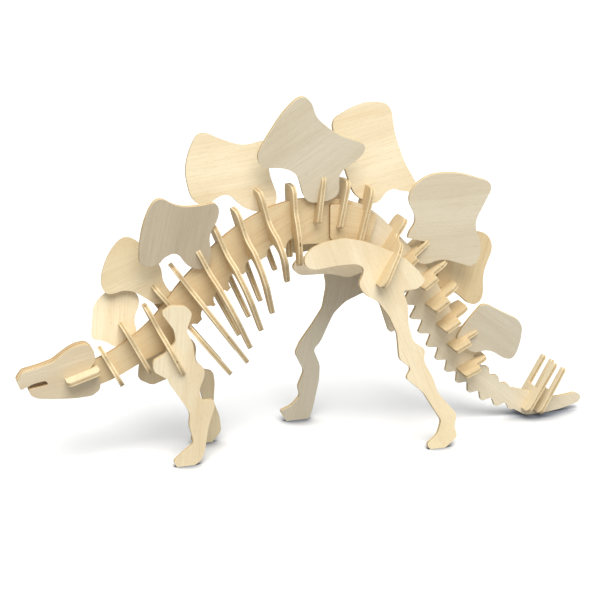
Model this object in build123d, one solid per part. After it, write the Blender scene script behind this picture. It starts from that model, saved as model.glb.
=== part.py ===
from build123d import *
from math import cos, radians, sin
import os

# A slot-together plywood skeleton of a plated dinosaur. Every piece is a flat sheet of the same plywood.
# Sizes are in millimetres. The head points to -X, the left side is at -Y, and the feet stand on z = 0.
# Side views are drawn as (x, z) points. Cross-pieces are drawn as (sideways, up) points from their station.

PLY = 3.0                  # thickness of every sheet
PLAY = 0.1                 # how much wider a slot is than what goes into it
SLOT = PLY + PLAY
LAYERS = 3 * PLY           # head and hip are three sheets thick
CUT = 2 * LAYERS           # more than any stack of sheets, for cutting right through
OPEN = 60.0                # past the edge of any piece, for the open end of a slot
BEYOND = 800.0             # larger than the whole model, for cutting along a plane

LEFT = -1
RIGHT = 1
SIDES = {"left": LEFT, "right": RIGHT}

SEAT = 6.0                 # how far above the spine's centre line a cross-piece comes to rest in its slot
EAR = 9.0                  # half the width of a cross-piece above the spine
NECK_SEAT = 4.0            # the same as SEAT, where the spine is thinner at the neck

# The spine's centre line from head to tail: x, z and half the spine's depth there.
BODY_LINE = [(-142, 62, 8), (-126, 67, 8.5), (-109, 76, 9), (-94, 85, 11), (-81, 96, 13), (-70, 108, 14),
             (-59, 119, 14), (-48, 130, 14), (-36, 139, 14), (-20, 147, 14.5), (-3, 151, 15), (12, 151, 15),
             (26, 149, 15), (40, 143, 15)]
TAIL_LINE = [(26, 149, 15), (40, 143, 15), (54, 131, 14), (68, 117, 13), (79.5, 101.5, 13.5),
             (88, 85.5, 14), (96, 70.5, 13.5), (105, 55.5, 13), (116, 41.5, 12.5), (130.5, 27, 11.5),
             (146.5, 16, 9.5), (160, 10.5, 7.5)]
SPINE_JOINT = (32, 147)    # the two spine sheets meet here, under the hip plates
SPINE_JOINT_TILT = -12
SCALLOP_RADIUS = 5.5       # of the hollows in the spine's lower edge
SCALLOP_DROP = 15.5        # from the spine's centre line down to a hollow's middle

# Stations of the twenty cross-pieces: x, z and how far the top leans towards the head in degrees.
NECK_STATIONS = [(-126, 67, 27), (-109, 76, 27)]
SHOULDER_STATION = (-93, 84, 25)
RIB_STATIONS = [(-81, 96.5, 38), (-70, 108, 35), (-59.5, 119, 26), (-48.5, 130, 22), (-36, 139, 17),
                (-21, 147, 15)]
LAST_RIB_STATION = (-5, 151, 3)
SADDLE_STATIONS = [(10, 151, -7), (25, 149.5, -11), (40, 143, -14)]
HIP_STATION = (55.5, 127.5, -35)
TAIL_STATIONS = [(67, 117, -50), (80, 104, -54), (88.5, 88, -56), (96.5, 73, -58), (104.5, 58, -63),
                 (112, 39.5, -66)]
SPIKE_STATIONS = {"front": (164, 9.5, -30), "rear": (173, 7.5, -28)}

# Half the distance between a pair of legs, the height where that holds, and how far the feet lean outwards.
SHOULDER_PIVOT = (15.5, 105.0, 1.0)
HIP_PIVOT = (18.0, 145.0, 8.0)
SHOULDER_SEAT = -12.0      # where a leg comes to rest along its cross-piece
HIP_SEAT = -8.0

PLATE_OFFSET = 3.3         # from the spine's middle to a back plate's middle, at its foot
NECK_PLATE_OFFSET = 4.6    # the same for the plate on the neck


def outline(points, cut=3.0):
    """A flat face: straight sides between the points, each corner rounded off from `cut` mm away."""
    corners = [Vector(*point) for point in points]
    edges = []
    for index, corner in enumerate(corners):
        before = corners[index - 1]
        after = corners[(index + 1) % len(corners)]
        edges.append(Bezier(towards(corner, before, cut), corner, towards(corner, after, cut)))
        side_end = towards(after, corner, cut)
        if (edges[-1] @ 1 - side_end).length > 0.05:
            edges.append(Line(edges[-1] @ 1, side_end))
    return make_face(edges)


def towards(corner, other, cut):
    """The point `cut` mm from a corner along one of its sides, or the side's middle if the side is short."""
    side = other - corner
    reach = cut if side.length > 2 * cut + 0.1 else side.length / 2
    return corner + side.normalized() * reach


def sheet(face, plane=Plane.XZ, thick=PLY):
    """A flat face cut from plywood, with the plane through the middle of its thickness."""
    return extrude(plane * face, amount=thick / 2, both=True)


def station_plane(station):
    """The plane of a cross-piece: sideways is +Y, and up leans towards the head by the station's tilt."""
    x, z, tilt = station
    return Plane(origin=(x, 0, z), x_dir=(0, 1, 0), z_dir=(cos(radians(tilt)), 0, sin(radians(tilt))))


def block(station, width, low, high, depth, sideways=0.0):
    """A block in a station's frame: `width` sideways, `low` to `high` up, and `depth` along the spine."""
    return station_plane(station) * Pos(sideways, (low + high) / 2, 0) * Box(width, high - low, depth)


def both_sides(half):
    """A cross-piece's outline from its right half, which starts at the top and ends at the bottom."""
    return half + [(-x, y) for x, y in reversed(half)]


def ear(crest, width=EAR, foot=8.0):
    """The rounded top of a cross-piece, as the first points of its right half."""
    return [(width - 2, crest), (width, crest - 4), (width, foot)]


def hooked_cross_piece(station, half, seat=SEAT, stack=PLY, cut=3.0):
    """A cross-piece that drops over the spine from above, with its slot open below."""
    piece = sheet(outline(both_sides(half), cut), station_plane(station))
    return piece - block(station, stack + PLAY, -OPEN, seat, CUT)


# ---------------------------------------------------------------------------------------------- the spine

def centre_line(line):
    """The spine's centre line as one smooth curve, with its half depths."""
    curve = Spline(*[(x, z) for x, z, _ in line])
    return curve, [half for _, _, half in line]


def beside(line, index, out):
    """The point `out` mm above the centre line (below, where negative) at one of the line's own points."""
    curve, _ = centre_line(line)
    x, z, _ = line[index]
    along = curve.tangent_at(curve.param_at_point((x, z)))
    return (x - along.Y * out, z + along.X * out)


def spine_edge(line, side):
    """One long edge of the spine, half a depth above (1) or below (-1) the centre line."""
    return [beside(line, index, side * half) for index, (_, _, half) in enumerate(line)]


def between_teeth(line, side, first, last, teeth, depths):
    """The space around rounded teeth along an edge of the spine, between two of the line's points.

    The teeth end on the edge. The depth between them goes evenly from the first of `depths` to the second.
    """
    plain = spine_edge(line, side)
    edge = Spline(*plain)
    start = edge.param_at_point(plain[first])
    end = edge.param_at_point(plain[last])
    wave = []
    outer = []
    for step in range(2 * teeth + 1):
        share = step / (2 * teeth)
        at = start + (end - start) * share
        along = edge.tangent_at(at)
        outwards = Vector(-along.Y, along.X) * side
        depth = 0 if step % 2 else depths[0] + (depths[1] - depths[0]) * share
        wave.append(edge.position_at(at) - outwards * depth)
        outer.append(edge.position_at(at) + outwards * LAYERS)
    return sheet(outline(wave + outer[::-1], 2.5), thick=LAYERS)


def head_centre():
    """The middle layer of the head, which is one piece with the neck."""
    upper = [(-142, 69), (-137, 74), (-138, 81), (-144, 83.5), (-152, 81.5), (-158, 77.5), (-163, 73.5),
             (-172, 70.5), (-181, 68.5), (-185, 64), (-183, 58.5), (-176, 61.5), (-168, 63)]
    lower = [(-166, 60), (-170, 59), (-178, 58), (-177, 53), (-166, 50), (-148, 49), (-138, 50), (-135, 58)]
    return sheet(outline(upper + lower, 2.0))


def joint_side(direction):
    """Everything on one side of the line where the two spine sheets meet."""
    joint = station_plane((*SPINE_JOINT, SPINE_JOINT_TILT))
    return joint * Pos(0, 0, direction * (BEYOND / 2 + PLAY / 4)) * Box(BEYOND, BEYOND, BEYOND)


def spine_band(line):
    """The spine's sheet along a centre line, with plain edges."""
    upper = Spline(*spine_edge(line, 1))
    lower = Spline(*spine_edge(line, -1))
    ends = [Line(upper @ 0, lower @ 0), Line(upper @ 1, lower @ 1)]
    return sheet(make_face([upper, lower] + ends))


def cut_cross_slots(piece, stations, seat=SEAT):
    """Slots from the spine's upper edge, one for each cross-piece that drops over it."""
    for station in stations:
        piece -= block(station, CUT, seat - PLAY, OPEN, SLOT)
    return piece


def spine_body():
    """The front spine sheet, from the middle of the head to the hip, with a scallop below each rib."""
    spine = spine_band(BODY_LINE + [TAIL_LINE[2]]) + head_centre()
    for station in RIB_STATIONS + [LAST_RIB_STATION]:
        scallop = Pos(0, -SCALLOP_DROP, 0) * Rot(0, 90, 0) * Cylinder(SCALLOP_RADIUS, CUT)
        spine -= station_plane(station) * scallop
    spine = cut_cross_slots(spine, NECK_STATIONS, NECK_SEAT)
    spine = cut_cross_slots(spine, RIB_STATIONS + [LAST_RIB_STATION] + SADDLE_STATIONS)
    spine -= block(SHOULDER_STATION, CUT, -OPEN, PLAY, SLOT)
    spine -= cheek_plate_slot()
    return spine & joint_side(-1)


def pubis():
    """The bone that points forwards under the hip."""
    points = [(44, 131), (20, 130), (-2, 126.5), (-6, 121), (-1, 115.5), (20, 115), (33, 111), (48, 116),
              (56, 122)]
    return sheet(outline(points, 4.0))


def ischium():
    """The bone that points down and back behind the thigh."""
    points = [(44, 128), (66, 116), (67, 95), (67, 72), (62, 70), (56, 88), (48, 112)]
    return sheet(outline(points, 3.0))


def tail_tip():
    """The end of the tail: a flat keel on the floor and the last spike, which points backwards."""
    points = [(150, 22), (166, 17), (178, 10.5), (190, 11), (201, 12.5), (206, 9.5), (204, 5), (190, 1.5),
              (178, 0), (163, 0), (157, 4), (150, 8)]
    return sheet(outline(points, 2.5))


def spine_tail():
    """The rear spine sheet, from the hip to the end of the tail, with teeth along its edges."""
    spine = spine_band([BODY_LINE[-3]] + TAIL_LINE) & joint_side(1)
    spine -= between_teeth(TAIL_LINE, 1, 8, 11, 5, (4.5, 4))
    spine -= between_teeth(TAIL_LINE, -1, 4, 11, 11, (9, 5))
    spine += pubis() + ischium() + tail_tip()
    spine = cut_cross_slots(spine, SADDLE_STATIONS + [HIP_STATION] + TAIL_STATIONS)
    spine = cut_cross_slots(spine, SPIKE_STATIONS.values(), 0)
    return spine


def hip_plate(side):
    """A short sheet on each side of the hip, which bridges the joint between the two spine sheets."""
    points = [(19, 162), (33, 161), (51, 152), (48, 143), (44, 130), (33, 136), (19, 139)]
    plate = sheet(outline(points, 2.0)).moved(Pos(0, side * PLY, 0))
    return cut_cross_slots(plate, SADDLE_STATIONS[1:])


# ------------------------------------------------------------------------------------------------ the head

CHEEK_STATION = (-145, 64.5, 107)
CHEEK_LENGTH = 22.0        # of the cheek plate along the head


def skull(side):
    """One of the two outer layers of the head, with the open mouth and the jaw."""
    upper = [(-141, 66), (-136, 73), (-137, 80), (-141, 84), (-147, 83.5), (-152, 81.5), (-158, 77.5),
             (-163, 74), (-172, 71.5), (-182, 69.5), (-186, 64), (-184, 58), (-176, 61.5), (-168, 63)]
    lower = [(-166, 60), (-170, 59), (-179, 58), (-178, 54), (-174, 51.5), (-165, 50), (-150, 49),
             (-139, 49.5), (-134, 53), (-133, 60)]
    layer = sheet(outline(upper + lower, 1.8)).moved(Pos(0, side * PLY, 0))
    return layer - cheek_plate_slot()


def cheek_plate_slot():
    """The hole through the head that the cheek plate is pushed through."""
    reach = (CHEEK_LENGTH + PLAY) / 2
    return block(CHEEK_STATION, CUT, -reach, reach, SLOT)


def cheek_plate():
    """The nearly level sheet that crosses the back of the head."""
    half = [(14, CHEEK_LENGTH / 2), (14, -CHEEK_LENGTH / 2)]
    return sheet(outline(both_sides(half), 4.0), station_plane(CHEEK_STATION))


# ------------------------------------------------------------------------------------------ cross-pieces

def neck_piece(station, crest, width, drop):
    """A short cross-piece of the neck, with two lobes that hang `drop` mm down beside the spine."""
    half = ear(crest, width, 9) + [(width, 4), (12, -3), (12, 5 - drop), (8, -drop), (4.5, 2 - drop), (4, -8)]
    return hooked_cross_piece(station, half, seat=NECK_SEAT)


def shoulder_piece():
    """The cross-piece that the spine rests in and that the front legs hang on."""
    half = ear(22.5) + [(12, 5), (18, 1), (22, -6), (22.5, -18), (20, -24), (13, -25), (10, -21), (10, -13)]
    piece = sheet(outline(both_sides(half)), station_plane(SHOULDER_STATION))
    piece -= block(SHOULDER_STATION, SLOT, 0, OPEN, CUT)
    return cut_leg_slots(piece, SHOULDER_STATION, SHOULDER_PIVOT, SHOULDER_SEAT)


def rib(station, crest, spread, reach, tips, shoulder=4):
    """A long rib: an ear above the spine and an arm that bows out and in again down each side."""
    outer = [(12, shoulder), (spread * 0.8, shoulder - 4), (spread, -reach * 0.28), (spread, -reach * 0.5)]
    outer.append((tips + 3.5, -reach * 0.92))
    tip = [(tips + 2, -reach), (tips - 3, -reach)]
    inner = [(spread - 8, -reach * 0.5), (spread - 8, -reach * 0.32), (spread * 0.5, -8), (4, -6)]
    return hooked_cross_piece(station, ear(crest) + outer + tip + inner)


def last_rib():
    """The shortest rib, which hardly bows."""
    half = ear(25) + [(12, 2), (15, -8), (15, -18), (13, -26), (8, -26), (8, -17), (7, -10), (4, -6)]
    return hooked_cross_piece(LAST_RIB_STATION, half)


def saddle(station, crest, drop, stack):
    """A short cross-piece that ends on the spine's faces."""
    half = ear(crest) + [(EAR, -drop)]
    return hooked_cross_piece(station, half, stack=stack, cut=2.0)


def hip_piece():
    """The cross-piece that the hind legs hang on."""
    half = ear(26, EAR, 13) + [(22, 11), (27, 5), (35, -14), (34, -19), (19, -19), (12, -13)]
    piece = hooked_cross_piece(HIP_STATION, half)
    return cut_leg_slots(piece, HIP_STATION, HIP_PIVOT, HIP_SEAT)


def tail_piece(station, crest, wing):
    """A cross-piece of the tail: an ear above and a broader wing below on each side."""
    half = ear(crest, EAR, 11) + [(wing, 11), (wing, -1)]
    return hooked_cross_piece(station, half, cut=1.5)


def tail_spike(station, length):
    """A U-shaped piece astride the tail, with two prongs that point up and back."""
    half = [(7, 12), (7, length - 1), (9, length), (11, length - 1), (11, -3), (9, -5)]
    return hooked_cross_piece(station, half, seat=0, cut=1.5)


# ------------------------------------------------------------------------------------------- back plates

def tip_out(shape, station, foot, offset, side, lean):
    """Leans a shape drawn in the spine's plane outwards about a line `foot` up, and moves it to its side."""
    x, z, tilt = station
    pivot = (x - foot * sin(radians(tilt)), 0, z + foot * cos(radians(tilt)))
    along = (cos(radians(tilt)), 0, sin(radians(tilt)))
    return shape.rotate(Axis(pivot, along), -side * lean).moved(Pos(0, side * offset, 0))


def plate_outlines():
    """Side views of the nine back plates from head to tail."""
    return [
        [(-134, 105), (-126, 113), (-116, 115), (-106, 112), (-104, 104), (-109, 95), (-107, 86), (-112, 80),
         (-122, 77), (-128, 82), (-137, 83), (-135, 95)],
        [(-128, 127), (-122, 140), (-113, 149), (-104, 145), (-90, 128), (-90, 118), (-83, 108), (-94, 102.5),
         (-101, 108), (-112, 115), (-125, 111), (-129, 117)],
        [(-108, 143), (-106, 160), (-101, 174), (-95, 179), (-84, 171), (-70, 170), (-57, 172), (-56, 161),
         (-63, 150), (-60, 136), (-63, 126), (-76, 129), (-83, 141), (-92, 138), (-95, 133), (-107, 133)],
        [(-73, 188), (-69, 202), (-62, 213), (-48, 206), (-34, 201), (-17, 205), (-19, 184), (-13, 166),
         (-20, 158), (-34, 160), (-47, 173), (-62, 164), (-70, 170)],
        [(-29, 204), (-16, 226), (-5, 237.5), (3, 233), (6, 222), (20, 210), (41, 202), (38, 194), (23, 184),
         (25, 168), (14, 164), (2, 165), (-4, 185), (-14, 190), (-27, 190), (-31, 197)],
        [(24, 214), (38, 221), (52, 225), (66, 222), (68, 202), (74, 183), (83, 167), (78, 163), (62, 168),
         (53, 157), (44, 161), (37, 166), (30, 190)],
        [(75.5, 174), (86, 180), (104, 180), (128, 172), (122, 158), (116, 144), (123, 128), (119, 113),
         (96, 121), (84, 116), (74, 122), (71, 138), (78, 148), (70, 163)],
        [(101, 118), (118, 132), (134, 132), (141, 121), (132, 103), (132, 85), (123, 81), (111, 92.5),
         (94.5, 98.5)],
        [(121, 82), (126, 88), (140, 80), (154, 73), (154, 60), (150, 46), (143, 46), (132, 54), (121, 51),
         (108, 61), (112, 70)],
    ]


def plate_faces():
    """The nine outlines with rounded corners, and the seventh with its front lower corner missing."""
    faces = [outline(points, 7.0) for points in plate_outlines()]
    faces[6] -= outline([(84.5, 133), (61.5, 113.7), (60, 139)], 1.0)
    return faces


# Each plate's station, side and lean, and how far up its station its foot and the end of its slot are.
PLATES = [(NECK_STATIONS[1], RIGHT, 18, 9, 11), (RIB_STATIONS[0], RIGHT, 10, 10, 18),
          (RIB_STATIONS[2], LEFT, 10, 8, 17), (RIB_STATIONS[5], RIGHT, 10, 10, 20),
          (SADDLE_STATIONS[0], LEFT, 10, 13, 23), (SADDLE_STATIONS[2], RIGHT, 10, 16, 23),
          (TAIL_STATIONS[0], LEFT, 10, 8, 17), (TAIL_STATIONS[2], RIGHT, 10, 13, 18),
          (TAIL_STATIONS[4], LEFT, 10, 4, 16)]


def plate_offset(station):
    """How far beside the spine's middle a plate on this station stands."""
    return NECK_PLATE_OFFSET if station in NECK_STATIONS else PLATE_OFFSET


def back_plate(face, station, side, lean, foot, seat):
    """One back plate with its slot from below, leaning out on its own side of the spine."""
    plate = sheet(face) - block(station, CUT, seat - OPEN, seat, SLOT)
    return tip_out(plate, station, foot, plate_offset(station), side, lean)


def cut_plate_slot(piece, station, side, lean, foot, seat):
    """The slot in a cross-piece's ear that its back plate stands in."""
    slot = block(station, SLOT, seat - PLAY, seat + OPEN, CUT)
    return piece - tip_out(slot, station, foot, plate_offset(station), side, lean)


# -------------------------------------------------------------------------------------------------- legs

def splay(shape, side, pivot):
    """Moves a shape drawn in the spine's plane out to a leg's place, leaning outwards towards the foot."""
    offset, height, lean = pivot
    return shape.rotate(Axis((0, 0, height), (1, 0, 0)), side * lean).moved(Pos(0, side * offset, 0))


def leg_slab(side, pivot):
    """The whole plane of a leg as a slab that is one slot thick."""
    return splay(Box(BEYOND, SLOT, BEYOND), side, pivot)


def cut_leg_slots(piece, station, pivot, seat):
    """The slots from below in the two arms of a cross-piece, one for each leg of a pair."""
    for side in SIDES.values():
        piece -= leg_slab(side, pivot) & block(station, BEYOND, -OPEN, seat + PLAY, CUT)
    return piece


def leg(points, side, pivot, station, seat):
    """A leg with its slot from above, leaning outwards, and cut flat where its foot meets the floor."""
    board = splay(sheet(outline(points, 2.5)), side, pivot)
    board -= block(station, OPEN, seat, OPEN, SLOT, side * (OPEN / 2 + LAYERS))
    below_floor = Pos(0, 0, -BEYOND / 2) * Box(BEYOND, BEYOND, BEYOND)
    return board - below_floor


def front_leg_left():
    shoulder = [(-96, 104), (-90, 108), (-80, 107), (-76, 102), (-80, 91), (-76, 82), (-75, 70), (-69, 65)]
    back_of_leg = [(-69, 60), (-73, 50), (-71, 43), (-63, 43), (-63, 38), (-67, 26), (-69, 15), (-70, 8)]
    foot = [(-73, 2), (-79, -1), (-88, -1), (-91, 4), (-86, 8), (-77, 15)]
    front_of_leg = [(-80, 28), (-79, 35), (-82, 41), (-91, 55), (-93, 60), (-102, 66), (-102, 73), (-94, 77)]
    chest = [(-87, 84), (-88, 92)]
    points = shoulder + back_of_leg + foot + front_of_leg + chest
    return leg(points, LEFT, SHOULDER_PIVOT, SHOULDER_STATION, SHOULDER_SEAT)


def front_leg_right():
    shoulder = [(-96, 104), (-90, 108), (-80, 107), (-76, 102), (-80, 91), (-77, 83), (-74, 76), (-68, 73)]
    back_of_leg = [(-66, 68), (-67, 60), (-62, 52), (-55, 50), (-54, 42), (-55, 29), (-51, 18), (-50, 7)]
    foot = [(-57, -1), (-68, -1), (-71, 4), (-67, 8), (-60, 15)]
    front_of_leg = [(-61, 26), (-64, 38), (-72, 44), (-84, 49), (-96, 45), (-105, 50), (-104, 60), (-97, 70)]
    chest = [(-90, 77), (-87, 84), (-88, 92)]
    points = shoulder + back_of_leg + foot + front_of_leg + chest
    return leg(points, RIGHT, SHOULDER_PIVOT, SHOULDER_STATION, SHOULDER_SEAT)


def hip_bone():
    """The upper edge of the long bone on top of both hind legs, from its front tip to its rear tip."""
    front_tip = [(4, 124.5), (-1, 125.5), (-4, 129), (-3, 134), (2, 138.5), (10, 141.5)]
    return front_tip + [(24, 143), (37, 140), (51, 134), (64, 127), (73, 118), (78, 111), (72, 106), (62, 106)]


def hind_leg_left():
    back_of_leg = [(65, 96), (65, 83), (68, 72), (76, 66), (75, 58), (81, 46), (84, 36), (97, 20), (95, 12)]
    foot = [(97, 5), (88, -2), (78, -2.5), (75, 2), (83, 8)]
    front_of_leg = [(86, 17), (81, 25), (74, 37), (62, 48), (66, 54), (58, 61), (57, 78), (52, 90), (45, 100)]
    groin = [(38, 104), (34, 108), (32, 113), (35, 118), (36, 123), (31, 126), (18, 126)]
    points = hip_bone() + back_of_leg + foot + front_of_leg + groin
    return leg(points, LEFT, HIP_PIVOT, HIP_STATION, HIP_SEAT)


def hind_leg_right():
    back_of_leg = [(54, 92), (40, 86), (32, 78), (27, 66), (24, 58), (19, 52), (24, 40), (24, 28), (22, 16)]
    foot = [(21, 8), (18, -2), (2, -2), (-3, 7), (5, 10)]
    front_of_leg = [(11, 17), (9, 24), (13, 36), (6, 50), (9, 58), (17, 70), (24, 82), (26, 98)]
    groin = [(24, 108), (29, 118), (24, 126), (16, 126)]
    points = hip_bone() + back_of_leg + foot + front_of_leg + groin
    return leg(points, RIGHT, HIP_PIVOT, HIP_STATION, HIP_SEAT)


# ---------------------------------------------------------------------------------------------- assembly

def cross_pieces():
    """All twenty cross-pieces, from the neck to the tail."""
    pieces = [neck_piece(NECK_STATIONS[0], 14, 7, 14), neck_piece(NECK_STATIONS[1], 19, 10.5, 17)]
    pieces.append(shoulder_piece())
    sizes = [(25, 21, 49, 14, -6), (26, 24, 53, 14), (24, 25, 50, 14), (26, 26, 48, 15), (25, 26, 45, 14),
             (28, 26, 32, 14)]
    pieces += [rib(station, *size) for station, size in zip(RIB_STATIONS, sizes)]
    pieces.append(last_rib())
    saddles = [(32, 0, PLY), (28, 3, LAYERS), (29, 8, LAYERS)]
    pieces += [saddle(station, *size) for station, size in zip(SADDLE_STATIONS, saddles)]
    pieces.append(hip_piece())
    sizes = [(26, 16), (24, 19), (23, 19), (22, 19), (22, 18), (20, 18)]
    pieces += [tail_piece(station, *size) for station, size in zip(TAIL_STATIONS, sizes)]
    stations = NECK_STATIONS + [SHOULDER_STATION] + RIB_STATIONS + [LAST_RIB_STATION] + SADDLE_STATIONS
    stations += [HIP_STATION] + TAIL_STATIONS
    for plate in PLATES:
        number = stations.index(plate[0])
        pieces[number] = cut_plate_slot(pieces[number], *plate)
    return pieces


def all_pieces():
    """Every piece in its place, under the name of its file."""
    pieces = {"spine_body": spine_body(), "spine_tail": spine_tail(), "cheek_plate": cheek_plate()}
    for name, side in SIDES.items():
        pieces["skull_" + name] = skull(side)
        pieces["hip_plate_" + name] = hip_plate(side)
    for number, piece in enumerate(cross_pieces(), 1):
        pieces[f"cross_piece_{number:02d}"] = piece
    for number, (face, plate) in enumerate(zip(plate_faces(), PLATES), 1):
        pieces[f"back_plate_{number}"] = back_plate(face, *plate)
    pieces["tail_spike_front"] = tail_spike(SPIKE_STATIONS["front"], 34)
    pieces["tail_spike_rear"] = tail_spike(SPIKE_STATIONS["rear"], 31)
    pieces["front_leg_left"] = front_leg_left()
    pieces["front_leg_right"] = front_leg_right()
    pieces["hind_leg_left"] = hind_leg_left()
    pieces["hind_leg_right"] = hind_leg_right()
    return pieces


if __name__ == "__main__":
    os.makedirs("parts", exist_ok=True)
    pieces = all_pieces()
    # The model's middle goes over the origin.
    ends = [(piece.bounding_box().min.X, piece.bounding_box().max.X) for piece in pieces.values()]
    middle = (min(low for low, _ in ends) + max(high for _, high in ends)) / 2
    for name, piece in pieces.items():
        export_step(piece.moved(Pos(-middle, 0, 0)), f"parts/{name}.step")
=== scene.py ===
# The looks of a slot-together plywood dinosaur skeleton. Every CAD node is a flat sheet and is kept. It gets
# the sheet's own coordinates as an attribute, finely rounded edges, and birch plywood.
# Lengths are in metres.

import math

import bpy
import numpy as np
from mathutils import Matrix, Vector

EDGE_RADIUS = 0.00018      # rounding of the cut edges
WELD_DISTANCE = 1e-6       # vertices closer than this are joined
GRAIN_SHIFT = 0.11         # from one sheet to the next, so that no two have the same figure

# Depths in a sheet, from its middle outwards. A sheet is 3 mm thick and has three layers.
CORE_ENDS = (0.00038, 0.00062)
GLUE_LINE = 0.00052
GLUE_FADES = (0.00004, 0.00018)      # on both sides of the glue line
FACE_STARTS = (0.00132, 0.00147)


# ------------------------------------------------------------------------------------- sheet coordinates

# Direction of the face grain in degrees. On sheets seen from the side it is measured from the X axis, and on
# the others, such as the cheek plate, from the steepest direction in the sheet. Sheets that aren't listed
# get a direction that depends on their name.
GRAIN = {
    "spine_body": 28, "spine_tail": -42, "hip_plate_left": -15, "hip_plate_right": -15,
    "skull_left": 12, "skull_right": 12, "cheek_plate": 90,
    "back_plate_1": 82, "back_plate_2": 20, "back_plate_3": 80, "back_plate_4": 6, "back_plate_5": 35,
    "back_plate_6": 12, "back_plate_7": 3, "back_plate_8": 70, "back_plate_9": -35,
    "front_leg_left": 84, "front_leg_right": 88, "hind_leg_left": -68, "hind_leg_right": 80,
}

# The veneer of each sheet, and on some sheets painted shade. Cross-pieces have tan faces, partly a darker
# veneer and partly painted shade between the ribs, and the other sheets are cream unless named here. The
# greyer veneers of the back plates that lean out to the left (3, 5, 7, 9), of the tail and of the right legs
# are partly painted
# shade: these sheets face a little downwards, away from the light, or lie in the shade of the body.
VENEER_AND_PAINTED_SHADE_OF_SHEET = {
    "spine_body": "honey", "spine_tail": "ivory_painted_shade", "hip_plate_left": "honey", "hip_plate_right": "honey",
    "skull_left": "buff", "skull_right": "honey", "cheek_plate": "cream",
    "back_plate_1": "cream", "back_plate_2": "straw", "back_plate_3": "grey", "back_plate_4": "cream",
    "back_plate_5": "ivory_painted_shade", "back_plate_6": "cream", "back_plate_7": "ivory_painted_shade", "back_plate_8": "tan",
    "back_plate_9": "dove_painted_shade", "front_leg_right": "straw", "hind_leg_right": "dove_painted_shade",
}


def sheet_normal(mesh):
    """The direction through a sheet: the one that most of the mesh's area faces."""
    spread = np.zeros((3, 3))
    for face in mesh.polygons:
        normal = np.array(face.normal)
        spread += face.area * np.outer(normal, normal)
    _, directions = np.linalg.eigh(spread)
    return Vector(directions[:, 2]).normalized()


def small_turn(name):
    """A grain direction from -6 to 6 degrees that depends on the sheet's name."""
    return (sum(map(ord, name)) * 7) % 13 - 6


def sheet_axes(name, mesh):
    """The grain direction, the direction across it in the sheet, and the direction through the sheet."""
    through = sheet_normal(mesh)
    seen_from_side = abs(through.y) > 0.5
    reference = Vector((1, 0, 0)) if seen_from_side else Vector((0, 0, 1))
    level = (reference - through * reference.dot(through)).normalized()
    across = through.cross(level)
    if across.z < 0 and seen_from_side:
        across = -across
    angle = math.radians(GRAIN.get(name, small_turn(name)))
    along = level * math.cos(angle) + across * math.sin(angle)
    return along, through.cross(along), through


def mark_sheet(node, name, number):
    """Stores each vertex's place along the grain, across it and through the sheet."""
    mesh = node.data
    along, across, through = sheet_axes(name, mesh)
    depths = [vertex.co.dot(through) for vertex in mesh.vertices]
    middle = (min(depths) + max(depths)) / 2
    shift = GRAIN_SHIFT * number
    places = []
    for vertex, depth in zip(mesh.vertices, depths):
        places.extend((vertex.co.dot(along) + shift, vertex.co.dot(across) + 2 * shift, depth - middle))
    mesh.attributes.new("sheet", "FLOAT_VECTOR", "POINT")
    mesh.attributes["sheet"].data.foreach_set("vector", places)


def round_edges(node):
    """Joins the loose faces and rounds the sharp edges a little."""
    weld = node.modifiers.new("weld", "WELD")
    weld.merge_threshold = WELD_DISTANCE
    bevel = node.modifiers.new("rounded edges", "BEVEL")
    bevel.width = EDGE_RADIUS
    bevel.segments = 2
    bevel.limit_method = "ANGLE"
    bevel.angle_limit = math.radians(40)
    normals = node.modifiers.new("flat faces", "WEIGHTED_NORMAL")
    normals.mode = "FACE_AREA"
    normals.weight = 100
    normals.keep_sharp = False


# ------------------------------------------------------------------------------------------- materials

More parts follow.
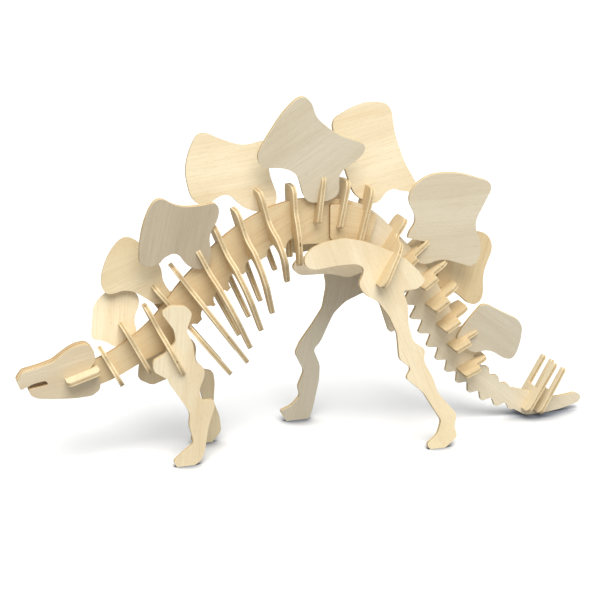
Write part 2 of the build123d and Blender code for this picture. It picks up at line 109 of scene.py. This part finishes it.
class Graph:
    """Short ways to add and link shader nodes."""

    def __init__(self, material):
        material.use_nodes = True
        self.nodes = material.node_tree.nodes
        self.links = material.node_tree.links
        self.shader = self.nodes["Principled BSDF"]

    def plug(self, socket, value):
        """Links value to the socket, or sets it where it is a plain value."""
        if isinstance(value, bpy.types.NodeSocket):
            self.links.new(value, socket)
        else:
            socket.default_value = value

    def attribute(self, name):
        """The node that reads a mesh attribute."""
        node = self.nodes.new("ShaderNodeAttribute")
        node.attribute_name = name
        return node

    def math(self, operation, *values):
        """The result of a math operation on the values."""
        node = self.nodes.new("ShaderNodeMath")
        node.operation = operation
        for socket, value in zip(node.inputs, values):
            self.plug(socket, value)
        return node.outputs[0]

    def step(self, value, low, high, to_low=0.0, to_high=1.0):
        """A smooth ramp of value between low and high."""
        node = self.nodes.new("ShaderNodeMapRange")
        node.interpolation_type = "SMOOTHSTEP"
        for key, part in zip(("Value", "From Min", "From Max", "To Min", "To Max"),
                             (value, low, high, to_low, to_high)):
            self.plug(node.inputs[key], part)
        return node.outputs[0]

    def stretch(self, vector, scale):
        """The vector with each of its directions scaled by its own number."""
        node = self.nodes.new("ShaderNodeVectorMath")
        node.operation = "MULTIPLY"
        self.plug(node.inputs[0], vector)
        node.inputs[1].default_value = scale
        return node.outputs[0]

    def noise(self, vector, scale, detail=2.0, roughness=0.5, distortion=0.0):
        """Fractal noise; scale is in cells per metre along each of the three directions."""
        node = self.nodes.new("ShaderNodeTexNoise")
        self.plug(node.inputs["Vector"], self.stretch(vector, scale))
        node.inputs["Scale"].default_value = 1.0
        node.inputs["Detail"].default_value = detail
        node.inputs["Roughness"].default_value = roughness
        node.inputs["Distortion"].default_value = distortion
        return node.outputs["Fac"]

    def mix(self, factor, first, second):
        """A colour that goes from first to second as factor goes from 0 to 1."""
        node = self.nodes.new("ShaderNodeMix")
        node.data_type = "RGBA"
        self.plug(node.inputs["Factor"], factor)
        self.plug(node.inputs["A"], first)
        self.plug(node.inputs["B"], second)
        return node.outputs["Result"]


def srgb(red, green, blue):
    """A colour from 0 to 255 display values, as the linear values that shaders use."""
    def linear(value):
        value /= 255
        return value / 12.92 if value <= 0.04045 else ((value + 0.055) / 1.055) ** 2.4
    return (linear(red), linear(green), linear(blue), 1.0)


# Each veneer: its colour, the colour of its darker figure and streaks, and how brown its cut edges are.
VENEERS = {
    "cream": (srgb(237, 223, 191), srgb(212, 186, 142), 0.10),
    "straw": (srgb(226, 210, 174), srgb(204, 180, 138), 0.20),
    # ivory, dove and grey are greyer veneers; on the sheets that use them they are partly painted shade.
    "ivory_painted_shade": (srgb(230, 219, 194), srgb(210, 193, 160), 0.15),
    "dove_painted_shade": (srgb(212, 203, 181), srgb(194, 178, 150), 0.20),
    "grey": (srgb(204, 191, 165), srgb(182, 165, 137), 0.30),
    "buff": (srgb(218, 205, 178), srgb(200, 178, 142), 0.20),
    "tan": (srgb(224, 203, 162), srgb(196, 165, 118), 0.20),
    "honey": (srgb(228, 208, 168), srgb(202, 170, 122), 0.75),
}


def veneer_face(graph, sheet, base, dark):
    """Sanded veneer: soft broad figure, fine streaks along the grain, and short pores."""
    figure = graph.noise(sheet, (7, 60, 300), detail=3, distortion=0.5)
    cloud = graph.noise(sheet, (26, 34, 40), detail=2)
    streaks = graph.noise(sheet, (30, 1100, 900), detail=4, roughness=0.65)
    pores = graph.noise(sheet, (380, 4200, 4200), detail=1)
    pore_mask = graph.step(pores, 0.60, 0.74)
    colour = graph.mix(graph.step(figure, 0.35, 0.75, 0.0, 0.50), base, dark)
    colour = graph.mix(graph.step(cloud, 0.42, 0.70, 0.0, 0.18), colour, dark)
    colour = graph.mix(graph.step(streaks, 0.45, 0.80, 0.0, 0.60), colour, dark)
    colour = graph.mix(graph.step(streaks, 0.20, 0.45, 0.18, 0.0), colour, srgb(250, 242, 218))
    colour = graph.mix(graph.math("MULTIPLY", pore_mask, 0.22), colour, srgb(150, 118, 80))
    streak_height = graph.math("MULTIPLY", streaks, 0.5)
    pore_depth = graph.math("MULTIPLY", pore_mask, 0.6)
    relief = graph.math("SUBTRACT", streak_height, pore_depth)
    return colour, relief, streaks


def cut_edge(graph, sheet, depth, brownness):
    """The three layers on a cut edge: cream outer ones, a browner core, and a thin glue line beside it."""
    fibres = graph.noise(sheet, (1500, 1500, 500), detail=3, roughness=0.7)
    toast = graph.noise(sheet, (60, 60, 60), detail=2)
    cells = graph.noise(sheet, (260, 260, 180), detail=2)
    outer = graph.mix(graph.step(fibres, 0.35, 0.75, 0.0, 0.5), srgb(242, 228, 190), srgb(208, 182, 136))
    core = graph.mix(graph.step(fibres, 0.30, 0.70), srgb(218, 196, 152), srgb(184, 154, 110))
    in_core = graph.step(depth, *CORE_ENDS, 1.0, 0.0)
    colour = graph.mix(in_core, outer, core)
    off_line = graph.math("ABSOLUTE", graph.math("SUBTRACT", depth, GLUE_LINE))
    glue = graph.step(off_line, *GLUE_FADES, 0.42, 0.0)
    colour = graph.mix(glue, colour, srgb(146, 112, 74))
    browning = graph.step(toast, 0.30, 0.75, brownness, brownness + 0.25)
    colour = graph.mix(browning, colour, srgb(178, 146, 102))
    holes = graph.math("MULTIPLY", graph.step(cells, 0.66, 0.72), in_core)
    colour = graph.mix(graph.math("MULTIPLY", holes, 0.75), colour, srgb(92, 68, 46))
    relief = graph.math("SUBTRACT", graph.math("MULTIPLY", fibres, 1.4), graph.math("MULTIPLY", glue, 0.8))
    return colour, relief


def birch_plywood(veneer):
    """Bare sanded birch plywood: veneer on the faces, and its layers on the cut edges."""
    material = bpy.data.materials.new("birch_plywood_" + veneer)
    graph = Graph(material)
    sheet = graph.attribute("sheet").outputs["Vector"]
    split = graph.nodes.new("ShaderNodeSeparateXYZ")
    graph.plug(split.inputs[0], sheet)
    depth = graph.math("ABSOLUTE", split.outputs["Z"])
    base, dark, brownness = VENEERS[veneer]
    face, face_relief, streaks = veneer_face(graph, sheet, base, dark)
    edge, edge_relief = cut_edge(graph, sheet, depth, brownness)
    on_edge = graph.step(depth, *FACE_STARTS, 1.0, 0.0)
    graph.plug(graph.shader.inputs["Base Color"], graph.mix(on_edge, face, edge))

    edge_dullness = graph.math("MULTIPLY", on_edge, 0.14)
    roughness = graph.math("ADD", graph.step(streaks, 0.25, 0.80, 0.56, 0.72), edge_dullness)
    graph.plug(graph.shader.inputs["Roughness"], roughness)
    graph.shader.inputs["Specular IOR Level"].default_value = 0.35

    height = graph.nodes.new("ShaderNodeMix")
    graph.plug(height.inputs["Factor"], on_edge)
    graph.plug(height.inputs["A"], face_relief)
    graph.plug(height.inputs["B"], edge_relief)
    bump = graph.nodes.new("ShaderNodeBump")
    bump.inputs["Strength"].default_value = 0.35
    bump.inputs["Distance"].default_value = 0.00012
    graph.plug(bump.inputs["Height"], height.outputs["Result"])
    graph.plug(graph.shader.inputs["Normal"], bump.outputs["Normal"])
    return material


# ------------------------------------------------------------------------------------------------ stage

FLOOR_REACH = 20.0         # from the middle to each side
FLOOR_DROP = 0.0001        # keeps the floor just clear of the soles
# The contact shadow on the floor is painted: it is colour from ambient occlusion, not a cast shadow.
PAINTED_SHADOW_REACH = 0.04       # how far from a foot its contact shadow goes
FLOOR_WHITE = (0.97, 0.97, 0.97, 1)
# Colour of the painted contact shadow near the feet.
FLOOR_PAINTED_SHADOW = (0.16, 0.18, 0.22, 1)
FLOOR_BOUNCE = (0.38, 0.38, 0.39, 1)


def floor():
    """A floor that the camera sees white with a painted contact shadow near the feet, and that throws back
    light as if grey.
    """
    mesh = bpy.data.meshes.new("floor")
    reach = FLOOR_REACH
    corners = [(-reach, -reach, 0), (reach, -reach, 0), (reach, reach, 0), (-reach, reach, 0)]
    mesh.from_pydata(corners, [], [(0, 1, 2, 3)])
    plane = bpy.data.objects.new("floor", mesh)
    plane.location.z = -FLOOR_DROP
    bpy.context.scene.collection.objects.link(plane)
    material = bpy.data.materials.new("floor_white_painted_contact_shadow")
    graph = Graph(material)
    seen = graph.nodes.new("ShaderNodeLightPath").outputs["Is Camera Ray"]
    # Painted contact shadow: the floor's colour gets darker where ambient occlusion finds the feet close by.
    contact = graph.nodes.new("ShaderNodeAmbientOcclusion")
    contact.samples = 16
    contact.inputs["Distance"].default_value = PAINTED_SHADOW_REACH
    away_from_painted_shadow = graph.step(contact.outputs["AO"], 0.45, 0.97)
    white = graph.mix(away_from_painted_shadow, FLOOR_PAINTED_SHADOW, FLOOR_WHITE)
    colour = graph.mix(seen, FLOOR_BOUNCE, white)
    graph.plug(graph.shader.inputs["Base Color"], colour)
    graph.shader.inputs["Roughness"].default_value = 0.9
    graph.shader.inputs["Specular IOR Level"].default_value = 0.1
    mesh.materials.append(material)


def key_light(direction, spread, strength, colour):
    """A very broad, soft light that comes from one side and is equally strong everywhere."""
    light = bpy.data.lights.new("key light", "SUN")
    light.angle = math.radians(spread)
    light.energy = strength
    light.color = colour
    lamp = bpy.data.objects.new("key light", light)
    lamp.rotation_euler = Vector(direction).to_track_quat("Z", "Y").to_euler()
    bpy.context.scene.collection.objects.link(lamp)


def surroundings(colour, strength):
    """Even light from everywhere."""
    world = bpy.data.worlds.new("studio")
    world.use_nodes = True
    background = world.node_tree.nodes["Background"]
    background.inputs["Color"].default_value = (*colour, 1)
    background.inputs["Strength"].default_value = strength
    bpy.context.scene.world = world


def camera(place, aim, lens):
    """The camera at place, pointed at aim, with a lens of that focal length in millimetres."""
    data = bpy.data.cameras.new("camera")
    data.lens = lens
    view = bpy.data.objects.new("camera", data)
    view.location = place
    view.rotation_euler = (Vector(aim) - Vector(place)).to_track_quat("-Z", "Y").to_euler()
    bpy.context.scene.collection.objects.link(view)
    bpy.context.scene.camera = view


# -------------------------------------------------------------------------------------------- assembly

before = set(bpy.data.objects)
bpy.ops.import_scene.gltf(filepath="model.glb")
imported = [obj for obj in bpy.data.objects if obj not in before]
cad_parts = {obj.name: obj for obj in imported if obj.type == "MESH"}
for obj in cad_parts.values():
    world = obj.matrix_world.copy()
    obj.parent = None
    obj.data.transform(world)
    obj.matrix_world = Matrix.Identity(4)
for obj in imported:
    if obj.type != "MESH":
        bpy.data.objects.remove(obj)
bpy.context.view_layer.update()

plywood = {veneer: birch_plywood(veneer) for veneer in VENEERS}
for number, (name, node) in enumerate(sorted(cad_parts.items())):
    mark_sheet(node, name, number)
    round_edges(node)
    # Cross-pieces get the tan veneer: partly a darker veneer, partly painted shade between the ribs.
    veneer = VENEER_AND_PAINTED_SHADE_OF_SHEET.get(name, "tan" if name.startswith("cross_piece") else "cream")
    node.data.materials.clear()
    node.data.materials.append(plywood[veneer])

floor()
surroundings((0.92, 0.96, 1.0), 0.66)
key_light((-0.10, -1.0, 1.75), 45, 3.15, (1.0, 0.975, 0.93))

# The camera stands 1.1 m from the point that it aims at, turned 17.5 degrees towards the head and raised
# by 17.5 degrees.
AIM = Vector((-0.0098, 0, 0.0985))
DISTANCE = 1.1
LENS = 101.6
TURN = math.radians(17.5)
RISE = math.radians(17.5)
back = Vector((-math.sin(TURN) * math.cos(RISE), -math.cos(TURN) * math.cos(RISE), math.sin(RISE)))
camera(AIM + back * DISTANCE, AIM, LENS)
bpy.context.scene.view_settings.view_transform = "Standard"
